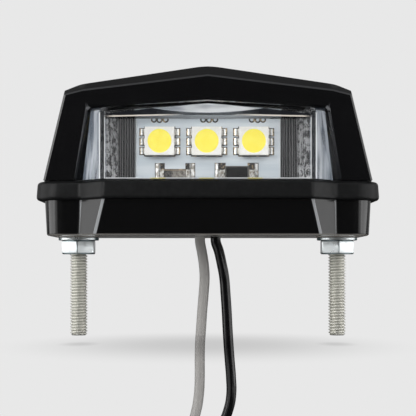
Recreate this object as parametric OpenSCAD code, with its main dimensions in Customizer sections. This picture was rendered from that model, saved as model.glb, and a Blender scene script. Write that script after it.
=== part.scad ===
// Number plate lamp with three light emitting diodes, a bay window and two studs below.
// The origin is midway between the studs on the flat underside. The window faces -Y.

/* [Base] */
// Width of the base at its upper edge
body_w = 55.4; // [54:0.1:60]
// From the stud line to the base's front, beside the bay
base_front = 8.7; // [8.2:0.1:10]
// From the stud line to the base's back
base_back = 11.2; // [11:0.1:14]
// Height of the base
base_h = 5.9; // [5.5:0.1:9]
// How far the walls lean in from top to bottom
base_draft = 0.28; // [0.1:0.01:0.5]
// Thickness of the base's walls
base_wall = 2; // [1.4:0.1:2.4]
// Thickness of the base's floor
base_floor = 2; // [1.6:0.1:2.6]
// Radius of the upright corners
corner_r = 3.5; // [2:0.1:4.5]
// Rounding of the base's lower edge
base_edge_r = 0.35; // [0.1:0.05:0.6]

/* [Bay] */
// Distance between the bay's feet, where its slanted sides start
foot_w = 42.7; // [41:0.1:44]
// How far the bay stands in front of the base, at the top
bay_reach = 4.05; // [3.4:0.05:4.8]
// How far the bay's front leans back at the bottom
bay_rake = 1.55; // [0.5:0.05:2]
// Rounding of the bay's upright edges
bay_edge_r = 1.2; // [0.4:0.1:1.4]

/* [Studs] */
// Distance between the two studs
stud_spacing = 45; // [42:0.5:46]
// Outer diameter of the thread
thread_d = 3; // [2.5:0.5:3.5]
// How far the studs reach below the underside
stud_reach = 17.2; // [12:0.1:30]
// Chamfer at a stud's tip
stud_tip = 0.35; // [0.1:0.05:0.5]
// Width across the flats of the hidden heads
head_af = 5.5; // [5:0.1:6]
// Height of the hidden heads
head_h = 2; // [1.6:0.1:2.2]
// Width across the flats of the nuts
nut_af = 5.5; // [5:0.1:6.5]
// Height of the nuts
nut_h = 2.4; // [1.8:0.1:3]
// Diameter of the washers
washer_d = 7; // [6.5:0.1:8]
// Thickness of the washers
washer_t = 0.5; // [0.4:0.1:1]
// Play between a stud and what it passes through, all round
stud_play = 0.1; // [0.05:0.05:0.3]
// Height of the moulded seats under the washers
seat_h = 0.15; // [0.1:0.05:0.4]
// How far a seat stands out round its washer
seat_margin = 0.3; // [0.2:0.1:0.6]
// Wall round a hidden head
head_wall = 1; // [0.8:0.1:1]
// How far that wall stands over the head
head_over = 0.4; // [0.2:0.1:0.8]

/* [Collar] */
// Height of the collar's band
collar_h = 3.15; // [2:0.05:4]
// How far the band stands out at the sides and the back
collar_side = 1.4; // [0.8:0.1:2]
// How far the band stands out in front
collar_front = 1.2; // [0.8:0.1:1.6]
// How far the band leans in towards its top
collar_lean = 0.25; // [0.1:0.05:0.4]
// Rounding of the band's edges
collar_edge_r = 0.6; // [0.2:0.05:0.8]
// Rounding of the band's upright edges at the bay
collar_bay_r = 1.2; // [0.4:0.1:1.4]
// Height of the lip that the hood and the lens stand on
lip_h = 0.2; // [0.2:0.05:1.5]
// How far the lip stands back from the band
lip_inset = 1.3; // [1:0.05:1.5]
// Depth of the tongue inside the base
tongue_h = 1.2; // [0.8:0.1:1.5]
// Thickness of the tongue
tongue_t = 1; // [0.8:0.1:1.3]
// Clearance between the tongue and the base
tongue_gap = 0.1; // [0.05:0.05:0.2]

/* [Hood] */
// How much wider than the base the hood is at its lower edge
hood_extra_w = -0.2; // [-0.6:0.1:1]
// Width of the hood at its shoulders
shoulder_w = 48; // [46:0.1:50]
// Height of the shoulders above the hood's lower edge
shoulder_h = 15.05; // [14.8:0.05:15.6]
// From each shoulder in to the bend in the roof
bend_in = 2.55; // [1.5:0.05:4]
// How far the bends stand above the shoulders
bend_rise = 1.1; // [0.6:0.05:1.6]
// How far the peak stands above the bends
peak_rise = 3.25; // [2.4:0.05:5]
// How far the hood's face stands in front of the base's
hood_forward = 0.3; // [0:0.05:0.5]
// How far the back leans in up to the peak
hood_back_lean = 3.4; // [1:0.1:4]
// Thickness of the hood's walls
hood_wall = 1.8; // [1.4:0.1:2.2]
// How far the bevel over the face goes down at the peak
bevel_peak = 2; // [1:0.05:2.2]
// How far it goes down at the bends
bevel_bend = 1.26; // [0.5:0.02:1.4]
// How far it goes down at the shoulders
bevel_shoulder = 0.8; // [0.3:0.02:1]
// Depth of the bevel at the peak
bevel_depth = 1.6; // [1:0.05:2]
// How far the bevel's corners stand in from the bends and the shoulders
bevel_in = 0.5; // [0.2:0.1:0.8]
// Rounding of the hood's front corners
hood_front_r = 0.5; // [0.2:0.05:0.8]
// Length of the slope from the roof down to the back
back_slope_run = 6; // [5:0.1:7]
// Height of that slope
back_slope_h = 7.7; // [6:0.1:9]

/* [Window] */
// Width of the jambs beside the opening, at the hood's lower edge
jamb_w = 5.15; // [4.8:0.05:5.6]
// Width of the jambs at the opening's upper corners
jamb_top_w = 4.2; // [3.8:0.05:4.6]
// From the shoulders down to the opening's upper corners
window_drop = 2.55; // [2.4:0.05:3]
// How far the opening's peak stands above its upper corners
window_rise = 1.45; // [1.2:0.05:1.8]
// Rounding of the upper corners
window_corner_r = 0.7; // [0.4:0.1:1.2]
// Width of the narrow chamfer round the opening
sill_w = 0.4; // [0.2:0.05:0.5]
// Depth of that chamfer
sill_depth = 0.25; // [0.15:0.05:0.4]
// Width of the sloping reveal at the bottom of the opening
reveal_w = 1.4; // [1:0.05:1.6]
// Width of the reveal at the upper corners
reveal_top_w = 0.75; // [0.5:0.05:1]
// Depth of the reveal
reveal_depth = 1.1; // [0.6:0.05:1.3]

/* [Lens] */
// How far the lens stands in front of the hood's face
lens_reach = 3.7; // [3:0.05:4]
// How far the front's sides stand in from the upper corners of the seat behind them
lens_draw = 1.73; // [1.4:0.01:2.2]
// From the seat's upper corners down to the front's
lens_corner_drop = 0.87; // [0.6:0.01:1.2]
// From the seat's peak down to the front's
lens_peak_drop = 1.02; // [0.6:0.01:1.4]
// Rounding of the front's upper corners
lens_corner_r = 0.7; // [0.3:0.1:1]
// Thickness of the front
lens_wall = 1.2; // [1:0.05:1.6]
// Thickness of the sides beside the hollow, at the front
lens_side = 0.7; // [0.6:0.05:1.2]
// Thickness over the hollow at the front's upper corners
lens_top = 1.2; // [0.9:0.05:1.4]
// How much the hollow's sides rise towards the back
hollow_rise = 1.5; // [1:0.05:1.6]
// How much lower its middle stays there
hollow_sag = 0.5; // [0.2:0.1:0.8]
// Rounding of the front's edges
lens_edge_r = 0.3; // [0.1:0.05:0.4]
// How far the flange stands out behind the hood's wall
flange_out = 1.2; // [0.8:0.1:1.5]
// Thickness of the flange
flange_t = 1; // [0.8:0.1:1.1]
// Clearance between the lens and the opening
lens_gap = 0.15; // [0.1:0.05:0.3]

/* [Carrier] */
// Clearance between the carrier and the walls round the hidden heads
carrier_gap = 0.12; // [0.05:0.01:0.3]
// From the stud line to the carrier's face
carrier_front = 6; // [5.8:0.05:6.1]
// From the stud line to the carrier's back
carrier_back = 1.5; // [0.8:0.1:1.8]
// Thickness of the carrier's foot
carrier_foot = 1.6; // [1.2:0.1:2]
// Thickness of the rail over the board
carrier_rail = 1; // [0.8:0.1:1.5]
// From the hood's shoulders down to the top of the carrier
carrier_drop = 0.8; // [0.7:0.05:1.4]
// Thickness of a cheek over the edge of the board
cheek_lip = 0.4; // [0.3:0.05:0.8]
// Width of the plain rim beside the ribs
cheek_rim = 1.1; // [0.8:0.1:1.4]
// Spacing of the ribs on the cheeks
rib_pitch = 0.4; // [0.3:0.05:0.6]
// Depth of the ribs
rib_depth = 0.2; // [0.1:0.05:0.3]
// How far a cheek's slot covers the edge of the board
slot_cover = 0.6; // [0.4:0.1:0.8]
// Clearance between the board and its slots
slot_gap = 0.05; // [0.03:0.01:0.1]

/* [Board] */
// Bare board beside the outermost solder
board_margin = 1.6; // [1.4:0.05:2.4]
// Thickness of the board
board_t = 1.6; // [1:0.1:1.7]
// From the stud line to the board's face
board_face = 4.3; // [4.2:0.05:4.5]
// Distance between the light sources
led_pitch = 8; // [7.4:0.1:8.4]
// How far the row sits to the left of the board's middle
led_shift = 0.2; // [0:0.05:0.4]
// Height of their middles above the board's lower edge
led_up = 12.5; // [12:0.1:13]
// Width of a package
led_w = 5; // [4.6:0.1:5.3]
// Height of a package
led_h = 4.8; // [4.6:0.1:5]
// Thickness of a package
led_t = 1.5; // [1.2:0.05:1.55]
// Diameter of the phosphor
phosphor_d = 4.05; // [3.2:0.05:4.2]
// Depth of the phosphor's cup
phosphor_depth = 0.8; // [0.5:0.1:1]
// Spacing of the three contacts on each side
contact_pitch = 1.6; // [1.5:0.05:1.7]
// Height of a contact
contact_h = 1.1; // [0.7:0.05:1.2]
// How far a contact stands out beside its package
contact_out = 0.35; // [0.2:0.05:0.5]
// Thickness of a contact
contact_t = 0.2; // [0.15:0.05:0.3]
// How far the solder stands out beside the contacts
solder_out = 0.5; // [0.4:0.05:0.7]
// From the middle of the board to the middle of the resistor
resistor_offset = 5.6; // [5:0.1:6.5]
// Length of the resistor
resistor_w = 5; // [4.4:0.1:5.4]
// Height of the resistor on the board's face
resistor_h = 2.1; // [2:0.1:3]
// Thickness of the resistor
resistor_t = 0.6; // [0.4:0.05:0.8]
// Width of the resistor's end caps
cap_w = 0.6; // [0.4:0.05:0.9]
// How far the solder at the resistor stands above it
pad_over = 1; // [0.2:0.05:1.1]
// Height of the resistor's lower edge above the board's
resistor_up = 5.6; // [5:0.1:6.2]
// From the middle of the board to the middle of the diode
diode_offset = 4.9; // [4.4:0.1:6]
// Length of the diode's body
diode_w = 4; // [3.8:0.1:4.4]
// Height of the diode's body on the board's face
diode_h = 2.6; // [2.2:0.1:2.8]
// Thickness of the diode's body
diode_t = 2; // [1.6:0.1:2.1]
// Height of the diode's lower edge above the board's
diode_up = 5.6; // [4.8:0.1:6]
// Reach of the diode's contacts beside its body
diode_foot = 1.1; // [0.6:0.1:1.2]
// How far the solder at the diode stands above it
diode_pad_over = 0.55; // [0.2:0.05:0.8]

/* [Screws] */
// Distance between the two hood screws
screw_spacing = 26; // [24:0.5:30]
// From the stud line back to the hood screws
screw_back = 4.8; // [4.4:0.1:5]
// Core diameter of a hood screw, which is also its hole in the post
screw_d = 1.8; // [1.4:0.1:2.2]
// Length of a hood screw under its head
screw_l = 8; // [6:0.5:12]
// Diameter of a hood screw's head
screw_head_d = 3.6; // [3.2:0.1:3.8]
// Height of a hood screw's head
screw_head_h = 1.4; // [1:0.1:1.8]
// Length of the cross in a head
slot_l = 2.2; // [1.6:0.1:2.4]
// Width of the cross
slot_w = 0.5; // [0.3:0.1:0.7]
// How far the heads are sunk into the underside
screw_sink = 3.5; // [2.5:0.1:3.8]
// Play round a screw and its head
screw_play = 0.3; // [0.2:0.05:0.4]
// Wall round a sunk head
screw_boss_wall = 0.9; // [0.7:0.1:1.2]
// Diameter of the posts in the hood
post_d = 4.4; // [4:0.1:5]
// Clearance between a post and its boss
post_gap = 0.1; // [0.05:0.05:0.3]

/* [Leads] */
// Diameter of a lead
lead_d = 1.8; // [1.4:0.1:2]
// Clearance round a lead inside the seal
lead_gap = 0.05; // [0:0.01:0.1]
// Distance between the two leads in the seal
lead_spacing = 2.8; // [2.6:0.1:3.2]
// Diameter of the cable hole
cable_hole_d = 6.3; // [6:0.1:7]
// From the stud line back to the cable hole
cable_back = 5.2; // [4.6:0.1:5.3]
// How deep the seal sits above the underside
seal_recess = 0.6; // [0.3:0.1:1]
// How far the seal's flange stands out over the floor
seal_flange = 0.5; // [0.3:0.05:0.6]
// Thickness of the seal's flange
seal_flange_t = 1; // [0.6:0.1:1.5]
// Clearance round the seal's neck
seal_gap = 0.05; // [0.02:0.01:0.1]
// Distance from turn to turn of the wound leads
turn_pitch = 1.9; // [1.9:0.05:2.1]
// Radius of the outermost turn, at its middle
turn_r = 12.2; // [12:0.1:12.2]
// Width of the tie round the wound leads, in degrees of the turn
tie_angle = 16; // [10:1:24]
// Thickness of the tie
tie_t = 0.6; // [0.4:0.1:1]
// Diameter of the bare strands at a lead's end
strand_d = 1; // [0.7:0.1:1.2]
// Length of the bare strands
strand_l = 5; // [4:0.5:8]

/* [Hidden] */
$fn = 64;

// A cut runs this far past what it cuts
past = 1;
// Facets on each rounded upright corner, and on each small rounding
corner_steps = 8;
edge_steps = 3;
// Angles at which a rounded lower or upper edge is drawn
round_at = [0, 30, 60, 90];
// Sides of a lead
lead_sides = 8;
// A length past every part of the housing
far = 2 * body_w;
// A slanted cut starts this far outside the face that it cuts
skim = 0.02;

// Base and bay: outline values are [half width, front, back, sum of x and y on a slanted side, bay front]
base_top = [body_w / 2, base_front, base_back, foot_w / 2 + base_front, base_front + bay_reach];

// Levels
collar_top = base_h + collar_h;
hood_z = collar_top + lip_h;
foot_top = base_floor + carrier_foot;
washer_z = -seat_h - washer_t;
nut_z = washer_z - nut_h;

// Thread: a nut grips at the pitch line, halfway up the thread's flanks
thread_pitch_d = thread_d - 0.325;
stud_hole_d = thread_d + 2 * stud_play;

// Collar
band = [base_top[0] + collar_side, base_top[1] + collar_front, base_top[2] + collar_side,
        base_top[3] + collar_front, base_top[4] + collar_front];

// Hood
hood_hw = (body_w + hood_extra_w) / 2;
hood_face = base_front + hood_forward;
bend_w = shoulder_w - 2 * bend_in;
bend_h = shoulder_h + bend_rise;
peak_h = bend_h + peak_rise;
side_slope = (hood_hw - shoulder_w / 2) / shoulder_h;
shoulder_slope = bend_rise / bend_in;
hood_top_z = hood_z + peak_h;
roof_peak_r = 14;
roof_bend_r = 6;
back_top_r = 3;
// The side view's outline stands this far outside the leaning back
back_past = 0.5;

// Window
window_corner_h = shoulder_h - window_drop;
window_peak_h = window_corner_h + window_rise;
window_w = 2 * (hood_hw - jamb_w);
window_top_w = 2 * (hood_hw - side_slope * window_corner_h - jamb_top_w);

// Lens: each half of the hollow's roof has this many facets
sag_steps = 10;
lens_face = hood_face + lens_reach;
seat_w = window_w - 2 * reveal_w - 2 * lens_gap;
seat_top_w = window_top_w - 2 * reveal_top_w - 2 * lens_gap;
seat_corner_h = window_corner_h - reveal_top_w / 2 - lens_gap;
seat_peak_h = window_peak_h - reveal_top_w / 2 - lens_gap;
lens_front_w = seat_top_w - 2 * lens_draw;
lens_corner_h = seat_corner_h - lens_corner_drop;
lens_peak_h = seat_peak_h - lens_peak_drop;
lens_hollow_w = lens_front_w - 2 * lens_side;
lens_hollow_h = lens_corner_h - lens_top;
flange_face = hood_face - hood_wall;
flange_back = flange_face - flange_t;

// Carrier: it fits between the walls round the hidden heads
head_boss_r = head_af / cos(30) / 2 + head_wall;
carrier_w = stud_spacing - 2 * (head_boss_r + carrier_gap);
carrier_h = hood_z + shoulder_h - carrier_drop - carrier_rail - foot_top;

// Board and what sits on it
board_w = 2 * (led_pitch + led_w / 2 + contact_out + solder_out + board_margin);
board_z = foot_top;
board_back = board_face - board_t;
board_h = carrier_h - slot_gap;
led_z = board_z + led_up;

// Leads
seal_top = base_floor + seal_flange_t;
coil_middle = [0, cable_back, -53];
layer_y = turn_pitch / 2;
coil_turns = 2;
inner_turn_r = turn_r - coil_turns * turn_pitch;
coil_r0 = inner_turn_r - turn_pitch / 2;
coil_r1 = turn_r + turn_pitch / 2;
coil_y = 2 * turn_pitch;
// The coil's solid stands back a little from the leads that pass it
coil_clear = 0.05;

// Routes of the free leads, from the seal's lower face to the coil
grey_route = [[-1.4, 5.2, 0.6], [-1.4, 5.2, -0.7], [-1.1, 5.2, -2.4], [-0.75, 5.2, -4.6],
              [-0.58, 5.2, -7], [-0.75, 5.2, -10], [-1, 5.2, -13], [-1.2, 5.2, -16],
              [-1.4, 5.2, -19], [-1.45, 5.2, -22], [-1.45, 5.2, -25], [-1.6, 5.12, -28],
              [-2.1, 4.9, -31], [-3.1, 4.6, -34], [-4.5, 4.35, -36.4], [-5.85, 4.25, -38.75],
              [-7.22, 4.25, -41.1]];
black_route = [[1.4, 5.2, 0.6], [1.4, 5.2, -0.7], [1.95, 5.2, -2.4], [2.45, 5.2, -4.6],
               [2.9, 5.2, -7], [3.15, 5.2, -10], [3.35, 5.2, -13], [3.5, 5.2, -16],
               [3.68, 5.2, -19], [3.9, 5.2, -22], [4.13, 5.25, -25], [4.18, 5.35, -28],
               [3.75, 5.55, -30.5], [2.7, 5.8, -33], [1, 6.05, -34.7], [-0.7, 6.15, -36.4],
               [-2.3, 6.15, -38.04], [-3.89, 6.15, -39.63]];
// The ends of the leads lie on the face and the back of the coil and run out past it
grey_tail = [[-9.77, 2.35, -53.13], [-10.9, 2.35, -55.08], [-12.02, 2.35, -57.03],
             [-13.15, 2.35, -58.98], [-14.27, 2.35, -60.92]];
black_tail = [[-9.48, 8.05, -50.6], [-11.07, 8.05, -52.19], [-12.66, 8.05, -53.78],
              [-14.25, 8.05, -55.37], [-15.84, 8.05, -56.96]];
// Inside the lamp each lead rises from the seal to a hole in the board
lead_hole_x = 2.4;
lead_hole_z = board_z + 6;
grey_inside = [[-1.4, 5.2, 0.6], [-1.4, 5.2, 2.2], [-1.4, 5.1, 4], [-1.6, 4.6, 5.8],
               [-1.9, 3.6, 7.3], [-2.2, 2.1, 8.6], [-2.4, 0.6, 9.4], [-2.4, -1, 9.6],
               [-2.4, -2.3, 9.6]];
black_inside = [for (p = grey_inside) [-p[0], p[1], p[2]]];

// Plan outlines and roundings

function unit(v) = v / norm(v);

// One corner of a polygon, as points on an arc of radius r
function corner(a, b, c, r, n) =
    r == 0 ? [b] :
    let (u = unit(a - b),
         v = unit(c - b),
         half = acos(u * v) / 2,
         middle = b + unit(u + v) * r / sin(half),
         from = b + u * r / tan(half) - middle,
         to = b + v * r / tan(half) - middle,
         start = atan2(from[1], from[0]),
         turn = (atan2(to[1], to[0]) - start + 540) % 360 - 180)
    [for (i = [0:n]) middle + r * [cos(start + turn * i / n), sin(start + turn * i / n)]];

function rounded(points, radii, steps) =
    let (n = len(points))
    [for (i = [0:n - 1])
        each corner(points[(i + n - 1) % n], points[i], points[(i + 1) % n], radii[i], steps[i])];

// A quarter round of radius e at the angle t: how far it stands in, and how far on it has come
function round_in(e, t) = e * (1 - sin(t));
function round_on(e, t) = e * (1 - cos(t));

function at_z(points, z) = [for (p = points) [p[0], p[1], z]];
function at_y(points, y) = [for (i = [len(points) - 1:-1:0]) [points[i][0], y, points[i][1]]];

// The outline with the bay, set in by d on every side, its bay's edges rounded by b
function bay_outline(o, d, r, b) =
    let (hw = o[0] - d,
         front = o[1] - d,
         back = o[2] - d,
         sum = o[3] - d * sqrt(2),
         bay = o[4] - d,
         foot = sum - front,
         nose = sum - bay,
         c = corner_steps,
         e = edge_steps)
    rounded([[hw, back], [-hw, back], [-hw, -front], [-foot, -front], [-nose, -bay],
             [nose, -bay], [foot, -front], [hw, -front]],
            [r, r, r, b, b, b, b, r],
            [c, c, c, e, e, e, e, c]);

// The base's outline at a height, with its draft and the bay's rake
function base_at(z) =
    let (low = 1 - z / base_h)
    [base_top[0] - base_draft * low, base_top[1] - base_draft * low, base_top[2] - base_draft * low,
     base_top[3], base_top[4] - bay_rake * low];

function base_slice(z, d, r) = at_z(bay_outline(base_at(z), d, r, bay_edge_r), z);

// A gabled outline that stands on the hood's lower edge, its sides run on by the length below
function gable(w, top_w, corner_h, top_h, below, r) =
    let (low = w / 2 + (w - top_w) / 2 * below / corner_h,
         z = hood_z)
    rounded([[low, z - below], [top_w / 2, z + corner_h], [0, z + top_h],
             [-top_w / 2, z + corner_h], [-low, z - below]],
            [0, r, 2 * r, r, 0],
            [1, corner_steps / 2, edge_steps, corner_steps / 2, 1]);

// Joins outlines with the same number of points into one closed solid. A ring joins the last
// outline to the first, and anything else is closed by its two end outlines.
module loft(slices, twisted = false, ring = false) {
    n = len(slices[0]);
    count = len(slices);
    points = [for (s = slices) each s];
    sides = [for (k = [0:count - (ring ? 1 : 2)], i = [0:n - 1])
        let (j = (i + 1) % n, a = k * n, b = (k + 1) % count * n)
        each twisted ? [[a + i, b + j, a + j], [a + i, b + i, b + j]] : [[a + i, b + i, b + j, a + j]]];
    ends = [[for (i = [0:n - 1]) i], [for (i = [n - 1:-1:0]) (count - 1) * n + i]];
    polyhedron(points, ring ? sides : concat(ends, sides), convexity = 6);
}

// A round lead swept along its points
module swept(route, d) {
    last = len(route) - 1;
    function heading(i) = unit(route[min(i + 1, last)] - route[max(i - 1, 0)]);
    function ring(i) =
        let (h = heading(i),
             u = unit(cross(h, [0, 1, 0.1])),
             v = cross(h, u))
        [for (k = [0:lead_sides - 1])
            route[i] + d / 2 * (u * cos(360 * k / lead_sides) + v * sin(360 * k / lead_sides))];
    loft([for (i = [0:last]) ring(i)], twisted = true);
}

// Everything on the far side of the plane through three points
module half_space(p, q, s) {
    u = unit(q - p);
    n = unit(cross(u, s - p));
    v = cross(n, u);
    multmatrix([[u[0], v[0], n[0], p[0]],
                [u[1], v[1], n[1], p[1]],
                [u[2], v[2], n[2], p[2]],
                [0, 0, 0, 1]])
        translate([-far / 2, -far / 2, 0])
            cube(far);
}

module both_sides() {
    children();
    mirror([1, 0, 0])
        children();
}

module hexagon(af, h) {
    cylinder(d = af / cos(30), h = h, $fn = 6);
}

// A flat-sided block between two corners
module block(low, high) {
    translate(low)
        cube(high - low);
}

// Hood

// The roof in the front view: a peak, two bends and the slopes past the shoulders
function roof_points(drop) =
    let (z = hood_z - drop)
    rounded([[-far, -far], [far, -far],
             [far, z + bend_h - (far - bend_w / 2) * shoulder_slope],
             [bend_w / 2, z + bend_h], [0, z + peak_h], [-bend_w / 2, z + bend_h],
             [-far, z + bend_h - (far - bend_w / 2) * shoulder_slope]],
            [0, 0, 0, roof_bend_r, roof_peak_r, roof_bend_r, 0],
            [1, 1, 1, edge_steps, corner_steps, edge_steps, 1]);

// The leaning walls, set in by t, from the height low up past the roof
module hood_walls(t, low) {
    high = hood_top_z + past;
    function wall_slice(z) =
        let (hw = hood_hw - side_slope * (z - hood_z) - t,
             back = base_back - hood_back_lean * (z - hood_z) / peak_h - t,
             front = hood_face - t,
             front_r = max(hood_front_r - t, 0.1),
             back_r = max(corner_r - t, 0.1),
             c = corner_steps,
             e = edge_steps)
        at_z(rounded([[hw, back], [-hw, back], [-hw, -front], [hw, -front]],
                     [back_r, back_r, front_r, front_r],
                     [c, c, e, e]), z);
    loft([wall_slice(low), wall_slice(high)]);
}

// The side view: the top slopes down to the leaning back
module hood_profile(t) {
    foot = base_back + back_past;
    slope_foot = base_back - hood_back_lean + back_past;
    slope_start = hood_top_z + back_past;
    profile = rounded([[-far, -far], [-far, far], [slope_foot - back_slope_run, far],
                       [slope_foot - back_slope_run, slope_start],
                       [slope_foot, slope_start - back_slope_h],
                       [foot, hood_z], [foot, -far]],
                      [0, 0, 0, back_top_r, back_top_r, 0, 0],
                      [1, 1, 1, corner_steps, corner_steps, 1, 1]);
    translate([-far, -t, -t])
        rotate([90, 0, 90])
            linear_extrude(2 * far)
                polygon(profile);
}

module hood_form(t, low) {
    intersection() {
        hood_walls(t, low);
        translate([0, far / 2, 0])
            rotate([90, 0, 0])
                linear_extrude(far)
                    polygon(roof_points(t));
        hood_profile(t);
    }
}

// The bevel over the face: one plane over each half of the gable and one over each shoulder
module hood_bevels() {
    peak = [0, -hood_face, hood_top_z - bevel_peak];
    bend = [bend_w / 2 - bevel_in, -hood_face, hood_z + bend_h - bevel_bend];
    shoulder = [shoulder_w / 2 - bevel_in, -hood_face, hood_z + shoulder_h - bevel_shoulder];
    peak_edge = [0, -hood_face + bevel_depth, hood_top_z];
    shoulder_edge = [shoulder_w / 2, -hood_face + bevel_shoulder, hood_z + shoulder_h];
    both_sides() {
        half_space(peak, bend, peak_edge);
        half_space(bend, shoulder, shoulder_edge);
    }
}

module window_cut() {
    inner_w = window_w - 2 * reveal_w;
    inner_top_w = window_top_w - 2 * reveal_top_w;
    inner_corner_h = window_corner_h - reveal_top_w / 2;
    inner_peak_h = window_peak_h - reveal_top_w / 2;
    face = gable(window_w, window_top_w, window_corner_h, window_peak_h, past, window_corner_r);
    sill = gable(window_w - 2 * sill_w, window_top_w - 2 * sill_w, window_corner_h - sill_w,
                 window_peak_h - sill_w, past, window_corner_r);
    inner = gable(inner_w, inner_top_w, inner_corner_h, inner_peak_h, past, window_corner_r);
    loft([at_y(face, -hood_face - skim), at_y(sill, -hood_face + sill_depth),
          at_y(inner, -hood_face + reveal_depth),
          at_y(inner, -hood_face + hood_wall + past)], twisted = true);
}

module hood_posts() {
    foot = screw_sink + base_floor / 2 + post_gap;
    intersection() {
        both_sides()
            translate([screw_spacing / 2, screw_back, foot])
                difference() {
                    cylinder(d = post_d, h = hood_top_z - foot);
                    translate([0, 0, -past])
                        cylinder(d = screw_d, h = screw_l - base_floor / 2 + past);
                }
        hood_form(hood_wall / 2, 0);
    }
}

module hood() {
    color([0.05, 0.05, 0.055]) {
        difference() {
            hood_form(0, hood_z);
            hood_form(hood_wall, hood_z - past);
            hood_bevels();
            window_cut();
        }
        hood_posts();
    }
}

// Lens

// The hollow: flat-topped at the front, rising towards the back, and most at its sides
module lens_hollow() {
    hw = lens_hollow_w / 2;
    depth = lens_face - lens_wall - flange_back;
    on = (depth + past) / depth;
    function slice(rise, sag) =
        [[hw, hood_z - past],
         each [for (k = [sag_steps:-1:-sag_steps])
             let (share = k / sag_steps)
             [hw * share, hood_z + lens_hollow_h + rise - sag * (1 - share * share)]],
         [-hw, hood_z - past]];
    loft([at_y(slice(0, 0), -lens_face + lens_wall),
          at_y(slice(hollow_rise * on, hollow_sag * on), -flange_back + past)], twisted = true);
}

module lens() {
    function front(d) = gable(lens_front_w - 2 * d, lens_front_w - 2 * d, lens_corner_h - d,
                              lens_peak_h - d, 0, lens_corner_r);
    seat = gable(seat_w, seat_top_w, seat_corner_h, seat_peak_h, 0, window_corner_r);
    flange = gable(seat_w + 2 * flange_out, seat_top_w + 2 * flange_out,
                   seat_corner_h + flange_out, seat_peak_h + flange_out, 0, window_corner_r);
    e = lens_edge_r;
    color([0.85, 0.9, 0.95, 0.5])
        difference() {
            union() {
                loft([each [for (t = round_at) at_y(front(round_in(e, t)), -lens_face + round_on(e, t))],
                      at_y(seat, -hood_face), at_y(seat, -flange_face)], twisted = true);
                loft([at_y(flange, -flange_face), at_y(flange, -flange_back)]);
            }
            lens_hollow();
        }
}

// Collar

module seal_collar() {
    e = collar_edge_r;
    r = corner_r + collar_side / 2;
    function band_slice(h, d) =
        let (inset = d + collar_lean * h / collar_h)
        at_z(bay_outline(band, inset, r - inset, collar_bay_r), base_h + h);
    lip = bay_outline(band, lip_inset, r - lip_inset, collar_bay_r);
    tongue_z = base_h - tongue_h;
    outside = base_wall + tongue_gap;
    tongue = bay_outline(base_at(tongue_z), outside, corner_r - base_wall, bay_edge_r);
    inner = bay_outline(base_at(tongue_z), outside + tongue_t, corner_r - base_wall - tongue_t, bay_edge_r);
    color([0.11, 0.11, 0.12])
        loft([at_z(tongue, tongue_z), at_z(tongue, base_h),
              each [for (t = round_at) band_slice(round_on(e, t), round_in(e, t))],
              each [for (k = [len(round_at) - 1:-1:0])
                  band_slice(collar_h - round_on(e, round_at[k]), round_in(e, round_at[k]))],
              at_z(lip, collar_top), at_z(lip, hood_z), at_z(inner, hood_z),
              at_z(inner, tongue_z)], ring = true);
}

// Base

module base() {
    e = base_edge_r;
    r = corner_r;
    inner_r = corner_r - base_wall;
    color([0.04, 0.04, 0.045])
        difference() {
            union() {
                difference() {
                    loft([each [for (t = round_at) base_slice(round_on(e, t), round_in(e, t), r)],
                          base_slice(base_h, 0, r)]);
                    loft([base_slice(base_floor, base_wall, inner_r),
                          base_slice(base_h + past, base_wall, inner_r)]);
                }
                intersection() {
                    union() {
                        both_sides()
                            translate([stud_spacing / 2, 0, base_floor / 2])
                                cylinder(r = head_boss_r, h = base_floor / 2 + head_h + head_over);
                        both_sides()
                            translate([screw_spacing / 2, screw_back, base_floor / 2])
                                cylinder(d = screw_head_d + 2 * (screw_play + screw_boss_wall),
                                         h = screw_sink);
                    }
                    loft([base_slice(e, base_wall / 2, inner_r + 1),
                          base_slice(base_h, base_wall / 2, inner_r + 1)]);
                }
                both_sides()
                    translate([stud_spacing / 2, 0, -seat_h])
                        cylinder(d = washer_d + 2 * seat_margin, h = seat_h + base_floor / 2);
            }
            both_sides() {
                translate([stud_spacing / 2, 0, -seat_h - past])
                    cylinder(d = stud_hole_d, h = base_floor + seat_h + 2 * past);
                translate([stud_spacing / 2, 0, base_floor])
                    rotate([0, 0, 30])
                        hexagon(head_af + 2 * stud_play, base_h);
                translate([screw_spacing / 2, screw_back, -past])
                    cylinder(d = screw_head_d + 2 * screw_play, h = screw_sink + past);
                translate([screw_spacing / 2, screw_back, 0])
                    cylinder(d = screw_d + 2 * screw_play, h = base_h);
            }
            translate([0, cable_back, -past])
                cylinder(d = cable_hole_d, h = base_floor + 2 * past);
        }
}

// Fixings

module stud(side) {
    color([0.72, 0.71, 0.69])
        translate([side * stud_spacing / 2, 0, 0]) {
            translate([0, 0, base_floor])
                rotate([0, 0, 30])
                    hexagon(head_af, head_h);
            translate([0, 0, nut_z])
                cylinder(d = thread_pitch_d, h = base_floor - nut_z);
            translate([0, 0, -stud_reach + stud_tip])
                cylinder(d = thread_d, h = stud_reach - stud_tip + nut_z);
            translate([0, 0, -stud_reach])
                cylinder(d1 = thread_d - 2 * stud_tip, d2 = thread_d, h = stud_tip);
        }
}

module washer(side) {
    color([0.8, 0.82, 0.84])
        translate([side * stud_spacing / 2, 0, washer_z])
            difference() {
                cylinder(d = washer_d, h = washer_t);
                translate([0, 0, -past])
                    cylinder(d = stud_hole_d, h = washer_t + 2 * past);
            }
}

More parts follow.
